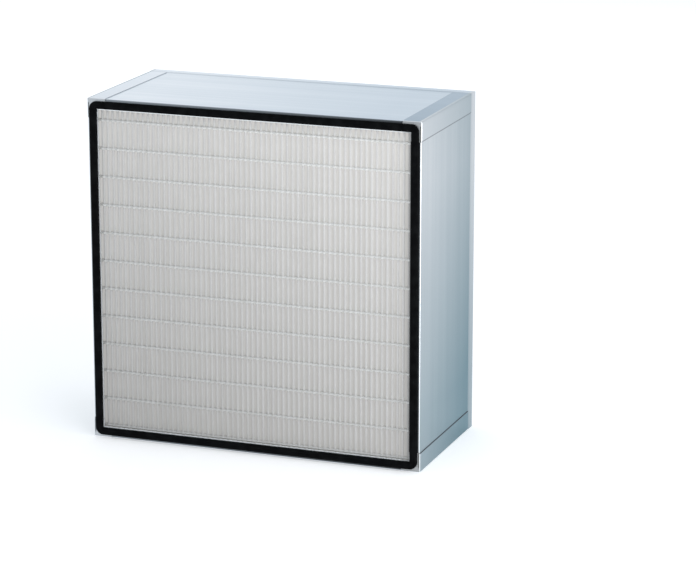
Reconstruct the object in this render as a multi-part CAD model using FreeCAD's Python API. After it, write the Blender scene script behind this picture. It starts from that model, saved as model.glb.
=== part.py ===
import FreeCAD, Part
import math
import os

Vector = FreeCAD.Vector

# Casing, outside sizes in millimetres
casing_width = 610.0
casing_height = 610.0
casing_depth = 292.0

# Folded side panels
panel_sheet = 1.2
front_inside_radius = 1.2
rear_inside_radius = 4.8
flange_lip = 2.0
rim_width = 27.0
rim_ramp = 3.0

# Corner angles that lap over the panels along the four long edges
angle_sheet = 1.0
angle_leg = 34.0
angle_inside_radius = 1.0
return_slit = 1.5
return_slit_margin = 8.0
return_gap = 1.0

# Foamed gasket on the front flange
gasket_inset = 5.0
gasket_width = 13.0
gasket_thickness = 6.0
gasket_edge_radius = 2.5

# Pleated filter paper
paper_thickness = 0.5
pleat_pitch = 9.5
fold_land = 1.4
fold_inside_radius = 0.7
pack_recess = 7.0

# Sealing compound between the pack and the casing
end_potting = 8.0
least_side_potting = 6.0

# Hot melt separators laid across the folds
separator_pitch = 50.0
separator_margin = 10.3
separator_height = 4.5
separator_proud = 1.6

# Directions and angles
across = Vector(1, 0, 0)
back = Vector(0, 1, 0)
up = Vector(0, 0, 1)
quarter = math.pi / 2
same_point = 0.001

# The origin is at the middle of the bottom of the whole filter, gasket included
total_depth = casing_depth + gasket_thickness
front_y = gasket_thickness - total_depth / 2
rear_y = front_y + casing_depth
ramp_start = rear_y - rim_width
web_inside = angle_sheet + panel_sheet

# The flanges reach just past the gasket, and a bend's outside follows its inside
flange_height = gasket_inset + gasket_width + flange_lip
front_bend_radius = front_inside_radius + panel_sheet
rear_bend_radius = rear_inside_radius + panel_sheet
angle_bend_radius = angle_inside_radius + angle_sheet
fold_radius = fold_inside_radius + paper_thickness

# The pack holds as many whole pleats as fit between the side panels
pack_space = casing_width - 2 * (web_inside + least_side_potting)
pleat_count = int(pack_space / pleat_pitch)
pack_width = pleat_count * pleat_pitch
pack_front = front_y + pack_recess
pack_rear = rear_y - pack_recess
pack_bottom = web_inside + end_potting
pack_top = casing_height - pack_bottom
side_potting = (casing_width - pack_width) / 2 - web_inside

# The separators start near the pack's bottom edge and go up as far as the pack does
first_separator = pack_bottom + separator_margin
separator_span = pack_top - separator_height / 2 - first_separator
separator_count = int(separator_span / separator_pitch) + 1


def path(start, steps):
    # A step is an end point, or the middle and the end point of an arc
    edges = []
    here = start
    for step in steps:
        if len(step) == 1:
            edges.append(Part.LineSegment(here, step[0]).toShape())
        else:
            edges.append(Part.Arc(here, step[0], step[1]).toShape())
        here = step[-1]
    return edges


def filled(start, steps):
    # Face inside a path, closed by a straight line where the path doesn't come back
    edges = path(start, steps)
    if not start.isEqual(steps[-1][-1], same_point):
        edges += path(steps[-1][-1], [(start,)])
    return Part.Face(Part.Wire(edges))


def on_circle(centre, radius, angle, right, top):
    return centre + right * (radius * math.cos(angle)) + top * (radius * math.sin(angle))


def arc(centre, radius, first, last, right, top):
    # Middle and end point of an arc, its angles counted from right towards top
    middle = (first + last) / 2
    return tuple(on_circle(centre, radius, angle, right, top) for angle in (middle, last))


def turned(shape, quarter_turns, place):
    # Copy turned clockwise as seen from the front, then moved from the origin
    copy = shape.copy()
    copy.rotate(Vector(0, 0, 0), back, 90 * quarter_turns)
    copy.translate(place)
    return copy


# Casing

def channel_section(depth, level):
    # Area under one surface of a panel's sheet, down to a level below the casing's skin.
    # Depth 0 is the outer surface and panel_sheet is the inner one.
    web = -(angle_sheet + depth)
    front_bend = Vector(0, front_y + front_bend_radius, -(angle_sheet + front_bend_radius))
    rear_bend = Vector(0, rear_y - rear_bend_radius, -rear_bend_radius)
    ramp_shift = depth * math.tan(math.atan2(angle_sheet, rim_ramp) / 2)
    ramp_foot = ramp_start + ramp_shift
    steps = [
        (Vector(0, front_y + depth, front_bend.z),),
        arc(front_bend, front_bend_radius - depth, 2 * quarter, quarter, back, up),
        (Vector(0, ramp_foot, web),),
        (Vector(0, ramp_foot + rim_ramp, -depth),),
        (Vector(0, rear_bend.y, -depth),),
        arc(rear_bend, rear_bend_radius - depth, quarter, 0, back, up),
        (Vector(0, rear_y - depth, -level),),
    ]
    return filled(Vector(0, front_y + depth, -level), steps)


def mitred(section, length, level):
    # Section run along one side of the casing, with a 45 degree mitre at both ends
    half = length / 2
    bar = section.extrude(across * length)
    bar.translate(across * -half)
    corners = ((-half, 0), (half, 0), (half - level, -level), (level - half, -level), (-half, 0))
    outline = Part.makePolygon([Vector(x, front_y, z) for x, z in corners])
    return bar.common(Part.Face(outline).extrude(back * casing_depth))


def corner_block(inset, radius):
    # Block in the casing's top right corner, inset from the skin, with rounded outer edges
    tip = Vector(-inset, front_y + inset, -inset)
    size = angle_leg - inset
    start = Vector(-angle_leg, tip.y, -angle_leg)
    block = Part.makeBox(size, ramp_start - tip.y, size, start)
    outer = [
        edge
        for edge in block.Edges
        if any(vertex.Point.isEqual(tip, same_point) for vertex in edge.Vertexes)
    ]
    return block.makeFillet(radius, outer)


def corner_angle():
    # Bent angle whose front return makes the flange's corner. The return hangs from one leg
    # and a slit parts it from the other, so the piece can be bent from one flat sheet.
    outside = corner_block(0, angle_bend_radius)
    inside = corner_block(angle_sheet, angle_inside_radius)
    open_size = angle_leg - flange_height
    start = Vector(-angle_leg, front_y, -angle_leg)
    opening = Part.makeBox(open_size, angle_sheet, open_size, start)
    slit_start = Vector(-angle_bend_radius - return_slit, front_y, -angle_leg)
    slit_length = angle_leg - return_slit_margin
    slit = Part.makeBox(return_slit, angle_sheet, slit_length, slit_start)
    return outside.cut(inside).cut(opening).cut(slit)


def panel(length):
    # Channel with a front and a rear flange, notched in front for the corner angles' returns
    sheet = channel_section(0, flange_height).cut(channel_section(panel_sheet, flange_height))
    channel = mitred(sheet.Faces[0], length, flange_height)
    half = length / 2
    notch = angle_leg + return_gap
    for notch_x in (-half, half - notch):
        start = Vector(notch_x, front_y, -angle_leg)
        channel = channel.cut(Part.makeBox(notch, front_bend_radius, angle_leg, start))
    for quarter_turns, end_x in ((0, half), (-1, -half)):
        channel = channel.cut(turned(corner_angle(), quarter_turns, across * end_x))
    return channel


def potting(length, thickness):
    # Sealing compound between a panel and the pack, as deep as the pack
    level = web_inside + thickness
    fill = mitred(channel_section(panel_sheet, level), length, level)
    start = Vector(-length / 2, pack_front, -level)
    return fill.common(Part.makeBox(length, pack_rear - pack_front, level, start))


# Gasket

def rounded_frame(half_width, half_height, corner):
    # Rectangle with round corners on the front flange, about the middle of the casing
    middle = Vector(0, front_y, casing_height / 2)
    centres = [
        middle + across * (side * (half_width - corner)) + up * (rise * (half_height - corner))
        for side, rise in ((1, 1), (-1, 1), (-1, -1), (1, -1))
    ]
    steps = []
    for turn, centre in enumerate(centres):
        first = turn * quarter
        steps.append((on_circle(centre, corner, first, across, up),))
        steps.append(arc(centre, corner, first, first + quarter, across, up))
    return filled(steps[-1][-1], steps)


def gasket():
    # Endless ring with a flat sealing land between two rounded edges. Its outside turns
    # about the corners of its opening, so it is as wide there as along the sides.
    frame = rounded_frame(
        casing_width / 2 - gasket_inset, casing_height / 2 - gasket_inset, gasket_width
    )
    margin = gasket_inset + gasket_width
    land_y = front_y - gasket_thickness
    opening = Part.makeBox(
        casing_width - 2 * margin,
        gasket_thickness,
        casing_height - 2 * margin,
        Vector(margin - casing_width / 2, land_y, margin),
    )
    ring = frame.extrude(back * -gasket_thickness).cut(opening)
    land_edges = [edge for edge in ring.Edges if edge.BoundBox.YMax < land_y + same_point]
    return ring.makeFillet(gasket_edge_radius, land_edges)


# Pleated pack

def crease(centre, radius, first, last):
    # A crease as one bevel: the two corners of a polygon laid round an arc of the sheet
    quarter_sweep = (last - first) / 4
    reach = radius / math.cos(quarter_sweep)
    angles = (first + quarter_sweep, last - quarter_sweep)
    return [(on_circle(centre, reach, angle, across, back),) for angle in angles]


def paper_surface(front_radius, rear_radius):
    # One surface of the folded paper from the pack's left edge to its right edge.
    # A fold has a flat land between two creases, and the walls lean from fold to fold.
    half_land = fold_land / 2
    front_fold_y = pack_front + fold_radius
    rear_fold_y = pack_rear - fold_radius
    run = Vector(pleat_pitch / 2 - fold_land, rear_fold_y - front_fold_y, 0)
    lean = math.atan2(run.y, run.x) - math.acos((front_radius + rear_radius) / run.Length)
    start = Vector(-pack_width / 2, rear_fold_y + rear_radius, 0)
    steps = []
    for pleat in range(pleat_count):
        left = start.x + pleat * pleat_pitch
        middle = left + pleat_pitch / 2
        right = left + pleat_pitch
        rear_left = Vector(left + half_land, rear_fold_y, 0)
        front_left = Vector(middle - half_land, front_fold_y, 0)
        front_right = Vector(middle + half_land, front_fold_y, 0)
        rear_right = Vector(right - half_land, rear_fold_y, 0)
        steps += crease(rear_left, rear_radius, quarter, -lean)
        steps += crease(front_left, front_radius, 2 * quarter - lean, 3 * quarter)
        steps += crease(front_right, front_radius, 3 * quarter, 4 * quarter + lean)
        steps += crease(rear_right, rear_radius, 2 * quarter + lean, quarter)
    steps.append((Vector(start.x + pack_width, start.y, 0),))
    return start, steps


def media_pack():
    # The filter paper, folded as one sheet and run from the bottom to the top of the pack
    front_start, front_steps = paper_surface(fold_radius, fold_inside_radius)
    rear_start, rear_steps = paper_surface(fold_inside_radius, fold_radius)
    right_end = path(front_steps[-1][-1], [(rear_steps[-1][-1],)])
    left_end = path(rear_start, [(front_start,)])
    rear_edges = path(rear_start, rear_steps)
    edges = path(front_start, front_steps) + right_end + rear_edges[::-1] + left_end
    sheet = Part.Face(Part.Wire(edges)).extrude(up * (pack_top - pack_bottom))
    sheet.translate(up * pack_bottom)
    return sheet


def separator(fold_y, outwards, z):
    # Bead of hot melt laid across the folds, with its flat side on their lands
    start = Vector(-pack_width / 2, fold_y, z - separator_height / 2)
    crown = Vector(start.x, fold_y + outwards * separator_proud, z)
    end = Vector(start.x, fold_y, z + separator_height / 2)
    return filled(start, [(crown, end)]).extrude(across * pack_width)


def sub_parts():
    # Every sub-part by name, in its place
    sides = {
        "top": (0, Vector(0, 0, casing_height), casing_width, end_potting),
        "right": (1, Vector(casing_width / 2, 0, casing_height / 2), casing_height, side_potting),
        "bottom": (2, Vector(0, 0, 0), casing_width, end_potting),
        "left": (3, Vector(-casing_width / 2, 0, casing_height / 2), casing_height, side_potting),
    }
    angle = corner_angle()
    mirrored_angle = angle.mirror(Vector(0, 0, 0), across)
    corners = {
        "top_right": (angle, 0, Vector(casing_width / 2, 0, casing_height)),
        "bottom_right": (mirrored_angle, 2, Vector(casing_width / 2, 0, 0)),
        "bottom_left": (angle, 2, Vector(-casing_width / 2, 0, 0)),
        "top_left": (mirrored_angle, 0, Vector(-casing_width / 2, 0, casing_height)),
    }
    shapes = {"gasket": gasket(), "media_pack": media_pack()}
    for name, (quarter_turns, place, length, thickness) in sides.items():
        shapes[name + "_panel"] = turned(panel(length), quarter_turns, place)
        shapes[name + "_potting"] = turned(potting(length, thickness), quarter_turns, place)
    for name, (shape, quarter_turns, place) in corners.items():
        shapes["corner_angle_" + name] = turned(shape, quarter_turns, place)
    for row in range(separator_count):
        z = first_separator + row * separator_pitch
        shapes["front_separator_%02d" % (row + 1)] = separator(pack_front, -1, z)
        shapes["rear_separator_%02d" % (row + 1)] = separator(pack_rear, 1, z)
    return shapes


os.makedirs("parts", exist_ok=True)
for node, shape in sub_parts().items():
    shape.exportStep("parts/" + node + ".step")
    print(node, len(shape.Solids), round(shape.Volume), shape.isValid())
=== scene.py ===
import math

import bmesh
import bpy
from mathutils import Matrix, Vector, noise


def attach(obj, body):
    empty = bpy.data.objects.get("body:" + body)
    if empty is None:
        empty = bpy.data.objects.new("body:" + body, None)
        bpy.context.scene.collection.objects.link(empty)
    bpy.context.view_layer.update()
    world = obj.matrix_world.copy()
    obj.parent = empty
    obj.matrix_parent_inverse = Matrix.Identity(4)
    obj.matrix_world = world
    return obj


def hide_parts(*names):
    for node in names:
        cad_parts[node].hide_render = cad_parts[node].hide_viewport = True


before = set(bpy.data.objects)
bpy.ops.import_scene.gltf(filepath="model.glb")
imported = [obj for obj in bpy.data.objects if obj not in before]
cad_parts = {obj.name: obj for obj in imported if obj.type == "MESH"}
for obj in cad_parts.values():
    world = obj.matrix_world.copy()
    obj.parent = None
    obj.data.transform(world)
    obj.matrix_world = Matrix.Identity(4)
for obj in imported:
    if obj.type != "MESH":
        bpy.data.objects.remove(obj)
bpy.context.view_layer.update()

mm = 0.001
casing = {
    "middle": Vector((0, 0, 305 * mm)),       # centre of the square, seen from the front
    "half": 305 * mm,
    "front": -143 * mm,                        # front plane of the flanges
    "rear": 149 * mm,
    "sides": ("top", "right", "bottom", "left"),   # clockwise
    "edge": 0.2 * mm,                          # rounding of the sheets' edges
    "roundedFrom": math.radians(50),
    "sharpAngle": math.radians(35),
    "weld": 0.001 * mm,                        # points nearer than this become one
}


# shader maths

class Wire:
    # one output of a node, so that sums can be written as sums
    def __init__(self, finish, socket):
        self.finish = finish
        self.socket = socket

    def __add__(self, other):
        return self.finish.math("ADD", self, other)

    def __radd__(self, other):
        return self.finish.math("ADD", other, self)

    def __sub__(self, other):
        return self.finish.math("SUBTRACT", self, other)

    def __rsub__(self, other):
        return self.finish.math("SUBTRACT", other, self)

    def __mul__(self, other):
        return self.finish.math("MULTIPLY", self, other)

    def __abs__(self):
        return self.finish.math("ABSOLUTE", self, 0)


class Finish:
    # a material with one Principled shader, and short ways to add its nodes
    def __init__(self, name, **constants):
        self.material = bpy.data.materials.new(name)
        self.material.use_nodes = True
        self.tree = self.material.node_tree
        self.shader = self.tree.nodes["Principled BSDF"]
        for socket, value in constants.items():
            self.shader.inputs[socket.replace("_", " ")].default_value = value
        self.place = self.node("ShaderNodeTexCoord", output="Object")

    def put(self, socket, value):
        if isinstance(value, Wire):
            self.tree.links.new(value.socket, socket)
        else:
            socket.default_value = value

    def node(self, kind, settings=None, links=None, output=0):
        made = self.tree.nodes.new(kind)
        for name, value in (settings or {}).items():
            setattr(made, name, value)
        for name, value in (links or {}).items():
            self.put(made.inputs[name], value)
        return Wire(self, made.outputs[output])

    def math(self, operation, first, second):
        return self.node("ShaderNodeMath", {"operation": operation}, {0: first, 1: second})

    def axes(self):
        # the place on the object: across, in depth and in height
        parts = self.node("ShaderNodeSeparateXYZ", links={"Vector": self.place})
        return [Wire(self, socket) for socket in parts.socket.node.outputs]

    def noise(self, scale, detail=3.0, roughness=0.5):
        # scale is one number, or three where the grain runs one way
        three = scale if isinstance(scale, tuple) else (scale,) * 3
        stretched = self.node("ShaderNodeMapping", links={"Vector": self.place, "Scale": three})
        return self.node("ShaderNodeTexNoise", links={
            "Vector": stretched, "Scale": 1.0, "Detail": detail, "Roughness": roughness,
        })

    def blend(self, factor, first, second, how="MIX"):
        return self.node(
            "ShaderNodeMix", {"data_type": "RGBA", "clamp_factor": True, "blend_type": how},
            {0: factor, 6: first, 7: second}, output=2,
        )

    def darkened(self, colour, share):
        return self.blend(share, (0, 0, 0, 1), colour)

    def spread(self, value, low, high, toLow=0.0, toHigh=1.0):
        return self.node("ShaderNodeMapRange", links={
            "Value": value, "From Min": low, "From Max": high, "To Min": toLow, "To Max": toHigh,
        })

    def bump(self, height, distance, strength=1.0):
        return self.node("ShaderNodeBump", links={
            "Height": height, "Distance": distance, "Strength": strength,
        })

    def set(self, **sockets):
        for socket, value in sockets.items():
            self.put(self.shader.inputs[socket.replace("_", " ")], value)
        return self.material


# finishes

rolled = {
    "panel": (0.765, 0.79, 0.82, 1),
    "panelDark": (0.635, 0.68, 0.72, 1),
    # painted shade: the corner angles' darker tones, kept where they are not lifted
    "corner": (0.49, 0.555, 0.615, 1),
    "cornerDark": (0.415, 0.485, 0.545, 1),
    "sideShade": (0.81, 0.81, 0.80, 1),     # painted shade: the sides are darker than the top's left end
    "topRightShade": (0.72, 0.775, 0.815, 1),  # painted shade: the top's right end is darker too
    "lowerRearShade": (0.20, 0.36, 0.42, 1),       # painted shade: the upright sides darken to teal towards their lower rear corner
    "lowerRearShadeRearwards": 0.46,
    "lowerRearShadeDownwards": 0.58,
    "seamShadow": (0.12, 0.13, 0.14, 1),         # painted shadow along the laps between panels and corner angles
    "seamShadowOnTop": 0.15,
    "seamShadowMoreOnSides": 0.7,
    # painted highlight inside the gasket, and painted shade outside it, from left to right
    "flangeHighlightInner": (0.92, 0.94, 0.95, 1),
    "flangeShadeLeft": (0.28, 0.31, 0.335, 1),
    "flangeShadeRight": (0.07, 0.075, 0.08, 1),
    # painted highlight on the front bends of the sides and the corner angles, and its share
    "paintedEdgeHighlight": (0.98, 0.99, 1.0, 1),
    "bendShade": 0.8,                      # how far the bend at the top takes the flange's painted shade
    "endsShine": 0.9,
    "streaks": (1.6, 210.0, 1.6),          # fine rolling marks along each panel, per metre
    "bands": (0.7, 34.0, 0.7),
    "clouds": 4.0,
    "grain": 2600.0,
    "roughness": 0.35,
    "relief": 0.02 * mm,
}

# where the sheet's finish and its painted light and shade change: a limit, or the two ends of a gradient
changes = {
    "side": 300 * mm,                      # farther from the middle, the sheet faces left or right
    "rim": 121.5 * mm,                     # farther back lies the rim
    "seam": 271 * mm,                      # from the middle to the corner angles' edges
    "nearSeam": (0.3 * mm, 1.7 * mm),
    "leftEnd": (-271.5 * mm, -270.5 * mm),
    "rearwards": (-140 * mm, 120 * mm),
    "upwards": (100 * mm, 500 * mm),
    "alongTop": (-220 * mm, 220 * mm),
    "flangePlane": (-142.9 * mm, -142.4 * mm),
    "bend": (-142 * mm, -141 * mm),
    "outsideGasket": (289 * mm, 289.5 * mm),
    "rightCorner": (270 * mm, 280 * mm),
    "alongFlange": (-300 * mm, 280 * mm),
}


def rolledSheet(name, light, dark, lift=0.0, returnShine=0.0):
    finish = Finish(name, Metallic=1.0)
    streaks = finish.noise(rolled["streaks"], detail=4.0, roughness=0.6)
    bands = finish.noise(rolled["bands"], detail=2.0)
    clouds = finish.noise(rolled["clouds"], detail=2.0)
    grain = finish.noise(rolled["grain"], detail=2.0)
    shade = streaks * 0.45 + bands * 0.35 + clouds * 0.2
    sheet = finish.blend(finish.spread(shade, 0.36, 0.64), dark, light)
    across, depth, height = finish.axes()
    up = height - casing["middle"].z
    onSide = finish.math("GREATER_THAN", abs(across), changes["side"])
    onWeb = finish.math("LESS_THAN", depth, changes["rim"])
    # painted shade: the corner angles' darker tone stays on the right ones' top and bottom legs; their side
    # legs, and all of the left ones, are nearly as light as the panels
    leftEnd = 1 - finish.spread(across, *changes["leftEnd"])
    sheet = finish.blend(finish.math("MAXIMUM", leftEnd, onSide) * lift, sheet, rolled["panel"])
    # painted shade: the upright sides darken and turn teal towards their lower rear corner
    rearwards = finish.spread(depth, *changes["rearwards"]) * onWeb
    downwards = 1 - finish.spread(height, *changes["upwards"])
    # painted shade: the top darkens towards its right end, and the sides are darker than the top
    topShade = finish.blend(finish.spread(across, *changes["alongTop"]), (1, 1, 1, 1), rolled["topRightShade"])
    tone = finish.blend(onSide, topShade, rolled["sideShade"])
    shareOfLowerRearShade = onSide * (rearwards * rolled["lowerRearShadeRearwards"] + downwards * rolled["lowerRearShadeDownwards"])
    lowerRearShade = finish.blend(shareOfLowerRearShade, (1, 1, 1, 1), rolled["lowerRearShade"])
    tint = finish.blend(1.0, tone, lowerRearShade, how="MULTIPLY")
    # painted shadow: a dark line along the laps, where the corner angles' edges meet the panels
    fromSeam = finish.math("MINIMUM", *(abs(abs(place) - changes["seam"]) for place in (across, up)))
    nearSeam = 1 - finish.spread(fromSeam, *changes["nearSeam"])
    seamShadow = nearSeam * onWeb * (onSide * rolled["seamShadowMoreOnSides"] + rolled["seamShadowOnTop"])
    tint = finish.blend(seamShadow, tint, rolled["seamShadow"])
    colour = finish.blend(1.0, sheet, tint, how="MULTIPLY")
    # the front flange: a painted highlight on the strip inside the gasket, and outside it painted shade that
    # darkens on the way to the right, as does the inner strip at the right;
    # the bend at the top takes that shade, the bends at the sides and the corners get a painted highlight,
    # and returnShine lightens the corner angles' front returns with the painted highlight
    behindFlange = finish.spread(depth, *changes["flangePlane"])
    onBend = behindFlange * (1 - finish.spread(depth, *changes["bend"]))
    fromMiddle = finish.math("MAXIMUM", abs(across), abs(up))
    outside = finish.math(
        "MAXIMUM", finish.spread(fromMiddle, *changes["outsideGasket"]),
        finish.spread(across, *changes["rightCorner"]),
    )
    outer = finish.blend(
        finish.spread(across, *changes["alongFlange"]), rolled["flangeShadeLeft"], rolled["flangeShadeRight"],
    )
    flange = finish.blend(outside * (1 - returnShine), rolled["flangeHighlightInner"], outer)
    atEnds = finish.math("GREATER_THAN", abs(across), changes["seam"])
    flangeLike = 1 - behindFlange + onBend * (1 - atEnds) * rolled["bendShade"]
    colour = finish.blend(flangeLike, colour, flange)
    # painted highlight on the bends at the sides and the corners
    colour = finish.blend(onBend * atEnds * rolled["endsShine"], colour, rolled["paintedEdgeHighlight"])
    return finish.set(
        Base_Color=colour,
        Roughness=rolled["roughness"] + streaks * 0.1,
        Normal=finish.bump(streaks * 0.7 + grain * 0.3, rolled["relief"], 0.5),
    )


foam = {
    "colour": (0.002, 0.0022, 0.0026, 1),
    "worn": (0.005, 0.0055, 0.006, 1),
    "pores": 1400.0,
    "skin": 60.0,
    "relief": 0.15 * mm,
}


def foamRubber():
    finish = Finish("foam_rubber", Specular_IOR_Level=0.03)
    pores = finish.node("ShaderNodeTexVoronoi", links={
        "Vector": finish.place, "Scale": foam["pores"],
    }, output="Distance")
    skin = finish.noise(foam["skin"])
    colour = finish.blend(finish.spread(skin, 0.4, 0.65), foam["colour"], foam["worn"])
    return finish.set(
        Base_Color=colour,
        Roughness=0.5 + skin * 0.2,
        Normal=finish.bump(pores * 0.5 + skin * 0.5, foam["relief"], 0.6),
    )


media = {
    "light": (0.535, 0.53, 0.52, 1),
    "shade": (0.475, 0.47, 0.46, 1),
    "glow": 0.36,                        # painted light: the paper glows, as if light seeped through it
    "glowOfFold": ((0.10, 0.10, 0.10, 1), (0.50, 0.496, 0.49, 1)),       # painted light, growing to the right: on the left, on the right
    # painted light: the walls between the folds glow more than the folds, which lightens the gaps
    "glowOfWall": ((0.78, 0.777, 0.765, 1), (0.92, 0.916, 0.90, 1)),
    "shadeNearFloor": 0.80,                       # painted shade: the paper is darker towards the floor,
    "lowest": 0.80,                      # and glows less
    "heights": (30 * mm, 550 * mm),
    "alongPack": (-280 * mm, 280 * mm),
    "lastPleats": (273.5 * mm, 276.5 * mm),
    "besideCasing": 0.28,                # painted shade: how much darker the last pleats on the right are
    "middle": 3 * mm,
    "intoFold": (134 * mm, 138.5 * mm),  # from the pack's middle, where the walls end in the folds
    "pleatTone": (104.0, 104.0, 1.2),    # changes from pleat to pleat, hardly along one
    "fibres": 1100.0,
    "mottle": 45.0,
    "relief": 0.08 * mm,
}


def fibrePaper():
    finish = Finish("fibre_paper", Specular_IOR_Level=0.25, Emission_Strength=media["glow"])
    across, depth, height = finish.axes()
    insideFold = 1 - finish.spread(abs(depth - media["middle"]), *media["intoFold"])
    tone = finish.noise(media["pleatTone"], detail=1.0)
    mottle = finish.noise(media["mottle"])
    fibres = finish.noise(media["fibres"], roughness=0.7)
    mask = tone * 0.5 + mottle * 0.3 + fibres * 0.2
    colour = finish.blend(finish.spread(mask, 0.38, 0.62), media["shade"], media["light"])
    # painted shade on the last pleats on the right; below, painted shade and less painted glow towards the
    # floor
    shaded = 1 - finish.spread(across, *media["lastPleats"]) * media["besideCasing"]
    upwards = finish.spread(height, *media["heights"])
    rightwards = finish.spread(across, *media["alongPack"])
    # painted light: the glow, stronger on the walls than on the folds and towards the right
    glow = finish.blend(
        insideFold,
        finish.blend(rightwards, *media["glowOfFold"]),
        finish.blend(rightwards, *media["glowOfWall"]),
    )
    return finish.set(
        Base_Color=finish.darkened(colour, finish.spread(upwards, 0, 1, media["shadeNearFloor"], 1) * shaded),
        Roughness=0.82 + fibres * 0.15,
        Emission_Color=finish.darkened(glow, finish.spread(upwards, 0, 1, media["lowest"], 1) * shaded),
        Normal=finish.bump(fibres, media["relief"], 0.5),
    )


melt = {
    "milk": (0.73, 0.725, 0.71, 1),
    "cream": (0.67, 0.66, 0.63, 1),
    "shadeNearFloor": 0.75,                       # painted shade: darker towards the floor,
    "heights": (30 * mm, 550 * mm),
    "leftmost": 0.88,                    # and a little towards the left
    "alongRow": (-280 * mm, 100 * mm),
    "clouds": 160.0,
    "ripple": 900.0,
    "relief": 0.1 * mm,
}


def hotMelt():
    finish = Finish("hot_melt", Specular_IOR_Level=0.5)
    across, _, height = finish.axes()
    clouds = finish.noise(melt["clouds"], detail=2.0)
    ripple = finish.noise(melt["ripple"], detail=2.0)
    colour = finish.blend(finish.spread(clouds, 0.4, 0.7), melt["milk"], melt["cream"])
    # painted shade towards the floor and a little towards the left
    upwards = finish.spread(height, *melt["heights"], melt["shadeNearFloor"], 1)
    rightwards = finish.spread(across, *melt["alongRow"], melt["leftmost"], 1)
    return finish.set(
        Base_Color=finish.darkened(colour, upwards * rightwards),
        Roughness=0.32 + clouds * 0.2,
        Normal=finish.bump(ripple, melt["relief"], 0.4),
    )


resin = {
    "amber": (0.70, 0.68, 0.60, 1),
    "pale": (0.78, 0.765, 0.70, 1),
    "clouds": 30.0,
    "relief": 0.4 * mm,
}


def castResin():
    finish = Finish("cast_resin", Specular_IOR_Level=0.45)
    clouds = finish.noise(resin["clouds"])
    return finish.set(
        Base_Color=finish.blend(clouds, resin["amber"], resin["pale"]),
        Roughness=0.4 + clouds * 0.15,
        Normal=finish.bump(clouds, resin["relief"], 0.4),
    )


finishes = {
    "casing_sheet": rolledSheet("rolled_panel", rolled["panel"], rolled["panelDark"]),
    # corner angles: darker tones that are painted shade, lifted on their side legs and on the left, and a
    # painted highlight on their front returns
    "corner_sheet": rolledSheet(
        "rolled_corner", rolled["corner"], rolled["cornerDark"], lift=0.85, returnShine=0.4,
    ),
    "gasket_rubber": foamRubber(),
    "filter_paper": fibrePaper(),
    "hot_melt": hotMelt(),
    "potting": castResin(),
}
print("finishes ready")


# from a bmesh to a piece of the object

def finishPiece(bm, name, slot, *nodes, smooth=False):
    bmesh.ops.remove_doubles(bm, verts=bm.verts[:], dist=casing["weld"])
    bmesh.ops.recalc_face_normals(bm, faces=bm.faces[:])
    mesh = bpy.data.meshes.new(name)
    bm.to_mesh(mesh)
    bm.free()
    mesh.shade_smooth()
    if not smooth:
        mesh.set_sharp_from_angle(angle=casing["sharpAngle"])
    mesh.materials.append(finishes[slot])
    piece = bpy.data.objects.new(name, mesh)
    bpy.context.scene.collection.objects.link(piece)
    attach(piece, "root")
    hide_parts(*nodes)
    return piece


def roundEdges(piece):
    bevel = piece.modifiers.new("edges", "BEVEL")
    bevel.width = casing["edge"]
    bevel.segments = 2
    bevel.limit_method = "ANGLE"
    bevel.angle_limit = casing["roundedFrom"]
    bevel.harden_normals = True


def backed(bm, thickness):
    # the surface becomes the outer skin of a sheet; its uppermost face looks up
    bmesh.ops.recalc_face_normals(bm, faces=bm.faces[:])
    top = max(bm.faces, key=lambda face: face.calc_center_median().z)
    if top.normal.z < 0:
        bmesh.ops.reverse_faces(bm, faces=bm.faces[:])
    bmesh.ops.solidify(bm, geom=bm.faces[:], thickness=thickness)


def shapedGrid(columns, rows, place):
    # a flat grid whose points are then put in their places
    bm = bmesh.new()
    bmesh.ops.create_grid(bm, x_segments=columns, y_segments=rows, size=0.5)
    for vert in bm.verts:
        column = round((vert.co.x + 0.5) * columns)
        row = round((vert.co.y + 0.5) * rows)
        vert.co = place(column, row)
    bm.normal_update()
    return bm


def thickened(bm, thickness):
    # the surface becomes the middle of a sheet
    for vert in bm.verts:
        vert.co += vert.normal * thickness / 2
    bmesh.ops.solidify(bm, geom=bm.faces[:], thickness=thickness)


def turnedAboutMiddle(bm, quarterTurns):
    # clockwise seen from the front
    bmesh.ops.rotate(
        bm, verts=bm.verts[:], cent=casing["middle"],
        matrix=Matrix.Rotation(math.radians(90 * quarterTurns), 3, "Y"),
    )


# casing panels

panel = {
    "sheet": 1.2 * mm,
    "webDrop": 1.0 * mm,             # the web lies this far under the skin, below the corner angles
    "flange": 20 * mm,
    "frontBend": 2.4 * mm,
    "rearBend": 6.0 * mm,
    "rim": 27 * mm,
    "ramp": 3 * mm,
    "notch": 35 * mm,                # 1 mm longer than the corner angles' returns
    "bendSteps": 8,
    "support": 0.8 * mm,
    "waves": 0.22 * mm,              # how far the thin web wanders from flat
    "waveScale": 7.0,
    "calm": 40 * mm,                 # the waves grow over this distance from the web's edges
    "cutsAlong": 30,
    "cutsAcross": 12,
}


class SheetLine:
    # the cross-section of a bent sheet, drawn with straight runs and bends in the YZ plane
    def __init__(self, bm, x, start):
        self.bm = bm
        self.x = x
        self.last = bm.verts.new((x, start[0], start[1]))

    def run(self, y, z, parts=1):
        start = self.last.co.copy()
        end = Vector((self.x, y, z))
        for part in range(parts):
            made = bmesh.ops.extrude_vert_indiv(self.bm, verts=[self.last])
            self.last = made["verts"][0]
            self.last.co = start.lerp(end, (part + 1) / parts)
        return self

    def bend(self, y, z, degrees):
        made = bmesh.ops.spin(
            self.bm, geom=[self.last], cent=(self.x, y, z), axis=(1, 0, 0), dvec=(0, 0, 0),
            angle=math.radians(degrees), steps=panel["bendSteps"], use_duplicate=False,
        )
        self.last = [item for item in made["geom_last"] if isinstance(item, bmesh.types.BMVert)][0]
        return self


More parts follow.
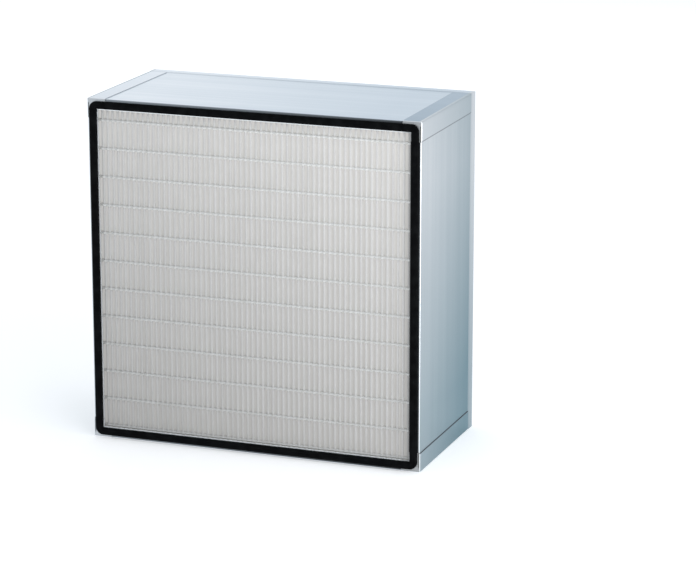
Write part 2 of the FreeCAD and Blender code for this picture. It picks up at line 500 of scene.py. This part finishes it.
def panelSheet():
    # the top panel's outer surface, drawn at its left end and pulled to the right
    half, front, rear = casing["half"], casing["front"], casing["rear"]
    skin = casing["middle"].z + half
    web = skin - panel["webDrop"]
    frontBend, rearBend, support = panel["frontBend"], panel["rearBend"], panel["support"]
    rampStart = rear - panel["rim"]
    rampEnd = rampStart + panel["ramp"]
    bm = bmesh.new()
    line = SheetLine(bm, -half, (front, skin - panel["flange"]))
    line.run(front, web - frontBend - support).run(front, web - frontBend)
    line.bend(front + frontBend, web - frontBend, -90)
    line.run(front + frontBend + support, web)
    line.run(rampStart - support, web, panel["cutsAcross"]).run(rampStart, web)
    line.run(rampEnd, skin).run(rampEnd + support, skin)
    line.run(rear - rearBend - support, skin, 3).run(rear - rearBend, skin)
    line.bend(rear - rearBend, skin - rearBend, -90)
    line.run(rear, skin - rearBend - support).run(rear, skin - panel["flange"])
    made = bmesh.ops.extrude_edge_only(bm, edges=bm.edges[:])
    moved = [item for item in made["geom"] if isinstance(item, bmesh.types.BMVert)]
    bmesh.ops.translate(bm, verts=moved, vec=(2 * half, 0, 0))
    along = [edge for edge in bm.edges if abs(edge.verts[0].co.x - edge.verts[1].co.x) > half]
    bmesh.ops.subdivide_edges(bm, edges=along, cuts=panel["cutsAlong"], use_grid_fill=True)
    return bm


def cutAcross(bm, point, normal, clear=False):
    return bmesh.ops.bisect_plane(
        bm, geom=bm.verts[:] + bm.edges[:] + bm.faces[:], dist=0.0001 * mm,
        plane_co=point, plane_no=normal, clear_outer=clear,
    )


def notchCorners(bm):
    # the front flange stops short of the corners, where the corner angles' returns lie
    stop = casing["half"] - panel["notch"]
    for side in (-1, 1):
        cutAcross(bm, (side * stop, 0, 0), (1, 0, 0))
    bendEnd = casing["front"] + panel["frontBend"]
    gone = [
        face for face in bm.faces
        if abs(face.calc_center_median().x) > stop and face.calc_center_median().y < bendEnd
    ]
    bmesh.ops.delete(bm, geom=gone, context="FACES")


def waveWeb(bm):
    # thin sheet is never quite flat: the web wanders a little, less towards its edges
    rampStart = casing["rear"] - panel["rim"]
    webStart = casing["front"] + panel["frontBend"]
    for vert in bm.verts:
        inside = min(vert.co.y - webStart, rampStart - vert.co.y, panel["calm"])
        if inside > 0:
            ease = math.sin(math.pi / 2 * inside / panel["calm"])
            vert.co.z += panel["waves"] * ease * noise.noise(vert.co * panel["waveScale"])


def mitreEnds(bm):
    half = casing["half"]
    skin = casing["middle"].z + half
    for side in (-1, 1):
        cut = cutAcross(bm, (side * half, 0, skin), (side, 0, -1), clear=True)
        edges = [item for item in cut["geom_cut"] if isinstance(item, bmesh.types.BMEdge)]
        bmesh.ops.holes_fill(bm, edges=edges)


def makePanel(name, node, quarterTurns):
    bm = panelSheet()
    notchCorners(bm)
    waveWeb(bm)
    backed(bm, panel["sheet"])
    mitreEnds(bm)
    turnedAboutMiddle(bm, quarterTurns)
    piece = finishPiece(bm, name, "casing_sheet", node)
    roundEdges(piece)


for turns, side in enumerate(casing["sides"]):
    makePanel("panel_" + side, side + "_panel", turns)
print("casing panels folded")


# corner angles

angle = {
    "leg": 34 * mm,
    "sheet": 1.0 * mm,
    "bend": 2.0 * mm,
    "bendSteps": 6,
    "flange": 20 * mm,
    "slit": 1.5 * mm,
    "slitMargin": 8 * mm,
}


def makeCorner(name, node, halfTurns, mirrored):
    # a block's top, side and front, with the rest of the front taken out inside the flanges,
    # and a slit that parts the front return from the side leg
    front, leg = casing["front"], angle["leg"]
    length = casing["rear"] - panel["rim"] - front
    tip = Vector((casing["half"], front, casing["middle"].z + casing["half"]))
    bm = bmesh.new()
    bmesh.ops.create_cube(bm, size=1)
    bmesh.ops.scale(bm, verts=bm.verts[:], vec=(leg, length, leg))
    bmesh.ops.translate(bm, verts=bm.verts[:], vec=tip + Vector((-leg / 2, length / 2, -leg / 2)))
    hidden = [face for face in bm.faces if max(-face.normal.x, face.normal.y, -face.normal.z) > 0.5]
    bmesh.ops.delete(bm, geom=hidden, context="FACES")
    outer = [edge for edge in bm.edges if not edge.is_boundary]
    bmesh.ops.bevel(
        bm, geom=outer, offset=angle["bend"], offset_type="OFFSET", segments=angle["bendSteps"],
        profile=0.5, affect="EDGES", material=-1,
    )
    slitSides = (angle["bend"], angle["bend"] + angle["slit"])
    for distance in (angle["flange"],) + slitSides:
        cutAcross(bm, tip - Vector((distance, 0, 0)), (1, 0, 0))
    for distance in (angle["flange"], angle["slitMargin"]):
        cutAcross(bm, tip - Vector((0, 0, distance)), (0, 0, 1))

    def isOpen(face):
        inwards = tip - face.calc_center_median()
        inSlit = slitSides[0] < inwards.x < slitSides[1] and inwards.z > angle["slitMargin"]
        inOpening = min(inwards.x, inwards.z) > angle["flange"]
        return face.normal.y < -0.99 and (inSlit or inOpening)

    bmesh.ops.delete(bm, geom=[face for face in bm.faces if isOpen(face)], context="FACES")
    backed(bm, angle["sheet"])
    if mirrored:
        bmesh.ops.scale(bm, verts=bm.verts[:], vec=(-1, 1, 1))
    turnedAboutMiddle(bm, 2 * halfTurns)
    piece = finishPiece(bm, name, "corner_sheet", node)
    roundEdges(piece)


corners = {
    "top_right": (0, False),
    "bottom_right": (1, True),
    "bottom_left": (1, False),
    "top_left": (0, True),
}
for corner, (halfTurns, mirrored) in corners.items():
    makeCorner("corner_" + corner, "corner_angle_" + corner, halfTurns, mirrored)
print("corner angles bent")


# gasket

gasket = {
    "inset": 5 * mm,
    "width": 13 * mm,
    "thickness": 6 * mm,
    "edge": 2.5 * mm,
    "edgeSteps": 5,
    "cornerSteps": 12,
    "crown": 0.5 * mm,
    "weld": 0.02 * mm,
}


def largestFace(bm):
    return max(bm.faces, key=lambda face: face.calc_area())


def raised(bm, face, height):
    made = bmesh.ops.extrude_face_region(bm, geom=[face])
    verts = [item for item in made["geom"] if isinstance(item, bmesh.types.BMVert)]
    bmesh.ops.translate(bm, verts=verts, vec=(0, -height, 0))
    bmesh.ops.delete(bm, geom=[face], context="FACES_ONLY")
    return [item for item in made["geom"] if isinstance(item, bmesh.types.BMFace)][0]


def makeGasket():
    # a rounded square drawn inwards step by step, up over the foam's round section and down again
    edge, steps, crown = gasket["edge"], gasket["edgeSteps"], gasket["crown"]
    flat = gasket["width"] - 2 * edge
    rise = [math.sin(math.pi / 2 * step / steps) for step in range(steps + 1)]
    climb = [
        (edge * (rise[steps - step] - rise[steps - step - 1]), edge * (rise[step + 1] - rise[step]))
        for step in range(steps)
    ]
    section = climb + [(flat / 4, crown * share) for share in (0.7, 0.3, -0.3, -0.7)]
    section += [(width, -height) for width, height in reversed(climb)]
    bm = bmesh.new()
    bmesh.ops.create_grid(bm, x_segments=1, y_segments=1, size=casing["half"] - gasket["inset"])
    bmesh.ops.rotate(bm, verts=bm.verts[:], cent=(0, 0, 0), matrix=Matrix.Rotation(math.radians(90), 3, "X"))
    bmesh.ops.translate(bm, verts=bm.verts[:], vec=casing["middle"] + Vector((0, casing["front"], 0)))
    bmesh.ops.bevel(
        bm, geom=bm.verts[:], offset=gasket["width"], offset_type="OFFSET",
        segments=gasket["cornerSteps"], profile=0.5, affect="VERTICES", material=-1,
    )
    wall = gasket["thickness"] - edge - crown
    face = raised(bm, largestFace(bm), wall)
    for inwards, height in section:
        bmesh.ops.inset_region(
            bm, faces=[face], thickness=inwards, depth=height, use_even_offset=True, use_boundary=True,
        )
    face = raised(bm, face, -wall)
    bmesh.ops.delete(bm, geom=[face], context="FACES_ONLY")
    bmesh.ops.remove_doubles(bm, verts=bm.verts[:], dist=gasket["weld"])
    bmesh.ops.bridge_loops(bm, edges=[edge for edge in bm.edges if edge.is_boundary])
    return finishPiece(bm, "gasket_ring", "gasket_rubber", "gasket")


makeGasket()
print("gasket poured")


# pleated paper

paper = {
    "pitch": 9.5 * mm,
    "pleats": 62,
    "half": 294.5 * mm,
    "front": -135.75 * mm,           # middle of the sheet at the folds
    "rear": 141.75 * mm,
    "bottom": 10.2 * mm,
    "height": 589.6 * mm,
    "land": 1.4 * mm,
    "radius": 0.95 * mm,
    "thickness": 0.5 * mm,
    "support": 3 * mm,
    "rows": 36,
    "foldStep": 0.71,                # how much the waviness changes from fold to fold
    "bulge": 0.22 * mm,              # sideways
    "bulgeScale": 18,
    "bulgeSeed": 0.3,
    "wander": 0.15 * mm,             # in depth
    "wanderScale": 14,
    "wanderSeed": 7.9,
}

rowsOfMelt = {
    "count": 12,
    "first": 20.5 * mm,
    "spacing": 50 * mm,
}


def halfPleat():
    # from a rear fold to the next front fold: how far along, and how deep
    land, radius, support = paper["land"] / 2, paper["radius"], paper["support"]
    front, rear = paper["front"], paper["rear"]
    half = paper["pitch"] / 2
    slope = math.sin(math.radians(45)) * radius
    return [
        (land, rear),
        (land + slope, rear - radius + slope),
        (land + radius, rear - radius),
        (land + radius, rear - radius - support),
        (half / 2, (front + rear) / 2),
        (half - land - radius, front + radius + support),
        (half - land - radius, front + radius),
        (half - land - slope, front + radius - slope),
        (half - land, front),
    ]


def foldedLine():
    there = halfPleat()
    back = [(paper["pitch"] - along, depth) for along, depth in reversed(there)]
    line = [(-paper["half"], paper["rear"])]
    for pleat in range(paper["pleats"]):
        left = pleat * paper["pitch"] - paper["half"]
        line += [(left + along, depth) for along, depth in there + back]
    return line + [(paper["half"], paper["rear"])]


def makePaper():
    line = foldedLine()

    def place(column, row):
        along, depth = line[column]
        height = paper["bottom"] + paper["height"] * row / paper["rows"]
        # the sheet is held at each row of hot melt and bulges a little between two of them
        free = math.sin(math.pi * (height - rowsOfMelt["first"]) / rowsOfMelt["spacing"]) ** 2
        fold = round(2 * (along + paper["half"]) / paper["pitch"]) * paper["foldStep"]
        bulge = noise.noise(Vector((fold, height * paper["bulgeScale"], paper["bulgeSeed"])))
        wander = noise.noise(Vector((fold, height * paper["wanderScale"], paper["wanderSeed"])))
        sideways = bulge * paper["bulge"]
        inwards = abs(wander) * paper["wander"]
        nearFront = 1 if depth < 0 else -1
        return Vector((along + sideways * free, depth + inwards * free * nearFront, height))

    bm = shapedGrid(len(line) - 1, paper["rows"], place)
    thickened(bm, paper["thickness"])
    return finishPiece(bm, "folded_paper", "filter_paper", "media_pack", smooth=True)


makePaper()
print("paper folded")


# rows of hot melt

melted = {
    "ringsPerPitch": 8,
    "around": 10,
    "crown": 1.6 * mm,               # how far a row stands out of the folds
    "tooth": 8.5 * mm,               # how deep it runs between two folds
    "sunk": 0.15 * mm,               # and into the folds' faces
    "below": 2.1 * mm,
    "above": 2.2 * mm,
    "flatter": 0.9,                  # share of that over a fold
    "lump": 0.8 * mm,
    "sag": 0.4 * mm,
    "gapSlope": 1.6,                 # how steeply the rope swells beside a fold
    "gapShare": 0.6,
    "swell": 0.25,
    "crownSwell": 0.25 * mm,
    "swellScale": 160,
    "drift": 0.35 * mm,              # a row wanders up and down
    "driftScale": 45,
}


def makeMelt(name, node, height, foldFace, gapStart, outwards, seed):
    # a rope across the folds: thin over each fold, thick and deep in each gap
    rings = paper["pleats"] * melted["ringsPerPitch"]
    around = melted["around"]

    def place(column, row):
        along = column * paper["pitch"] / melted["ringsPerPitch"] - paper["half"]
        phase = math.cos(2 * math.pi * ((along + paper["half"]) / paper["pitch"] - gapStart))
        inGap = min(1.0, max(0.0, phase * melted["gapSlope"] + melted["gapShare"]))
        unevenness = noise.noise(Vector((along * melted["swellScale"], seed * 3.1, 0.5)))
        swell = 1 + melted["swell"] * unevenness
        drift = melted["drift"] * noise.noise(Vector((along * melted["driftScale"], seed * 1.7, 4.2)))
        outer = melted["crown"] - melted["sag"] * inGap + melted["crownSwell"] * (swell - 1)
        inner = -melted["sunk"] - melted["tooth"] * inGap * swell
        flatness = melted["flatter"] + (1 - melted["flatter"]) * inGap
        above = melted["above"] * flatness + melted["lump"] * inGap * swell
        turn = 2 * math.pi * row / around
        depth = (outer + inner) / 2 + (outer - inner) / 2 * math.cos(turn)
        rise = math.sin(turn)
        lift = rise * (above if rise > 0 else melted["below"])
        return Vector((along, foldFace + outwards * depth, height + lift + drift))

    bm = shapedGrid(rings, around, place)
    bmesh.ops.remove_doubles(bm, verts=bm.verts[:], dist=casing["weld"])
    bmesh.ops.holes_fill(bm, edges=[edge for edge in bm.edges if edge.is_boundary])
    return finishPiece(bm, name, "hot_melt", node)


frontFace = paper["front"] - paper["thickness"] / 2
rearFace = paper["rear"] + paper["thickness"] / 2
for row in range(rowsOfMelt["count"]):
    height = rowsOfMelt["first"] + row * rowsOfMelt["spacing"]
    label = f"{row + 1:02d}"
    makeMelt("front_melt_" + label, "front_separator_" + label, height, frontFace, 0, -1, row)
    makeMelt("rear_melt_" + label, "rear_separator_" + label, height, rearFace, 0.5, 1, row + 20)
print("rows of hot melt laid")


# camera, floor and light

view = {
    "place": (1.8775, -4.7553, 1.6011),
    "turn": 20.267,
    "tilt": 14.734,
    "lens": 155.17,
}

studio = {
    "floor": (0.93, 0.935, 0.945, 1),
    "floorShade": (0.90, 0.91, 0.925, 1),
    "floorGlow": 0.3,
    "floorClouds": 0.8,
    "floorHalf": 20,
    "world": (0.90, 0.95, 1.0, 1),
    "worldStrength": 0.8,
    # place, target, size, power and colour
    "lamps": {
        "back_window": ((-0.7, 4.3, 1.9), (-0.3, 0, 0.6), (5.8, 2.2), 20, (0.96, 0.98, 1)),
        "front_window": ((1.4, -1.5, 2.0), (0.2, 0, 0.5), (1.1, 1.1), 10, (1, 0.995, 0.98)),
        "edge_light": ((1.7, -0.6, 0.4), (0.3, -0.14, 0.3), (0.5, 0.7), 7, (1, 1, 1)),
    },
}


def aimLamp(name, place, target, size, power, colour):
    data = bpy.data.lights.new(name, "AREA")
    data.shape = "RECTANGLE"
    data.size, data.size_y = size
    data.energy = power
    data.color = colour
    lamp = bpy.data.objects.new(name, data)
    lamp.visible_camera = False
    lamp.location = place
    lamp.rotation_euler = (Vector(target) - Vector(place)).to_track_quat("-Z", "Y").to_euler()
    bpy.context.scene.collection.objects.link(lamp)


def makeStudio():
    bm = bmesh.new()
    bmesh.ops.create_grid(bm, x_segments=1, y_segments=1, size=studio["floorHalf"])
    mesh = bpy.data.meshes.new("floor")
    bm.to_mesh(mesh)
    bm.free()
    floor = bpy.data.objects.new("floor", mesh)
    bpy.context.scene.collection.objects.link(floor)
    finish = Finish(
        "floor_paint", Roughness=0.9, Emission_Color=(1, 1, 1, 1), Emission_Strength=studio["floorGlow"],
    )
    cloud = finish.noise(studio["floorClouds"], detail=2.0)
    mesh.materials.append(finish.set(
        Base_Color=finish.blend(cloud * 0.3, studio["floor"], studio["floorShade"]),
    ))
    world = bpy.data.worlds.new("studio")
    world.use_nodes = True
    background = world.node_tree.nodes["Background"]
    background.inputs["Color"].default_value = studio["world"]
    background.inputs["Strength"].default_value = studio["worldStrength"]
    bpy.context.scene.world = world
    for name, lamp in studio["lamps"].items():
        aimLamp(name, *lamp)


def makeCamera():
    data = bpy.data.cameras.new("camera")
    data.lens = view["lens"]
    camera = bpy.data.objects.new("camera", data)
    camera.location = view["place"]
    camera.rotation_euler = (math.radians(90 - view["tilt"]), 0, math.radians(view["turn"]))
    bpy.context.scene.collection.objects.link(camera)
    bpy.context.scene.camera = camera


makeStudio()
makeCamera()
bpy.context.scene.view_settings.view_transform = "Standard"
for side in casing["sides"]:
    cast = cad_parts[side + "_potting"]
    cast.data.materials.clear()
    cast.data.materials.append(finishes["potting"])
print("studio lit")
